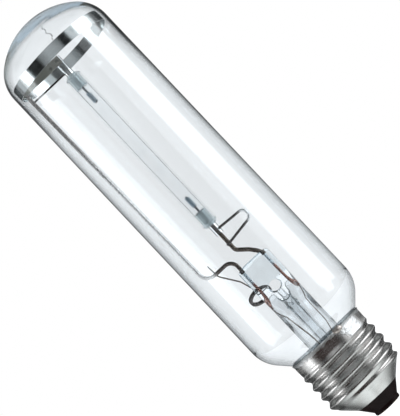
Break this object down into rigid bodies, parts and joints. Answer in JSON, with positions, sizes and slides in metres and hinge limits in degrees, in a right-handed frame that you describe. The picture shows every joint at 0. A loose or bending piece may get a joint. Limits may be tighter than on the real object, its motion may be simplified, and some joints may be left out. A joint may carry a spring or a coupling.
{
  "type": "tubular discharge lamp with screw cap",
  "caption": "Clear tubular sodium discharge lamp: domed glass bulb, ceramic arc tube on a wire frame, glass stem and a 27 mm Edison screw cap.",
  "frame": {"origin": "middle of the centre contact's end face, the lowest point of the cap", "axes": "+Z along the lamp from the cap to the dome; -X towards the side of the long frame rod; -Y towards the side solder and the picture's view"},
  "size_m": [0.0375, 0.0374, 0.156],
  "materials": {
    "clear_bulb_glass": "clear blown glass, fire-polished",
    "stem_glass": "clear pressed and drawn glass",
    "cap_plate": "bright nickel plate on rolled sheet, slightly dulled",
    "insulator_glass": "black opaque cast glass, glossy",
    "contact_brass": "plain stamped sheet, a little dull",
    "solder": "soft solder, satin grey and lumpy",
    "cement": "matt capping cement",
    "copper_lead": "bare copper wire, darkened",
    "dumet_wire": "copper-clad seal wire, reddish brown in the glass",
    "frame_nickel": "drawn nickel-iron wire, bright and dark streaked",
    "spring_steel": "rolled stainless band, bright",
    "strap_nickel": "cut nickel strip with darker weld spots",
    "sintered_alumina": "translucent sintered alumina, smooth satin",
    "niobium": "drawn niobium tube, satin",
    "tungsten": "dark drawn tungsten",
    "amalgam": "sodium amalgam bead, bright",
    "getter_steel": "pressed steel ring, satin"
  },
  "bodies": {
    "root": {"outer_bulb": "clear_bulb_glass", "stem_glass": "stem_glass", "exhaust_tube": "stem_glass", "screw_shell": "cap_plate", "cap_insulator": "insulator_glass", "centre_contact": "contact_brass", "centre_solder": "solder", "side_solder": "solder", "capping_cement": "cement", "centre_lead_wire": "copper_lead", "side_lead_wire": "copper_lead", "centre_seal_wire": "dumet_wire", "side_seal_wire": "dumet_wire", "frame_rod": "frame_nickel", "lower_lead_wire": "frame_nickel", "expansion_loop": "frame_nickel", "upper_lead_wire": "frame_nickel", "getter_holder_wire": "frame_nickel", "dome_spring_ring": "spring_steel", "cross_strap": "strap_nickel", "arc_tube": "sintered_alumina", "lower_end_plug": "sintered_alumina", "upper_end_plug": "sintered_alumina", "lower_niobium_tube": "niobium", "upper_niobium_tube": "niobium", "lower_electrode_rod": "tungsten", "upper_electrode_rod": "tungsten", "lower_electrode_coil": "tungsten", "upper_electrode_coil": "tungsten", "amalgam_dose": "amalgam", "getter_ring": "getter_steel"}
  },
  "joints": []
}
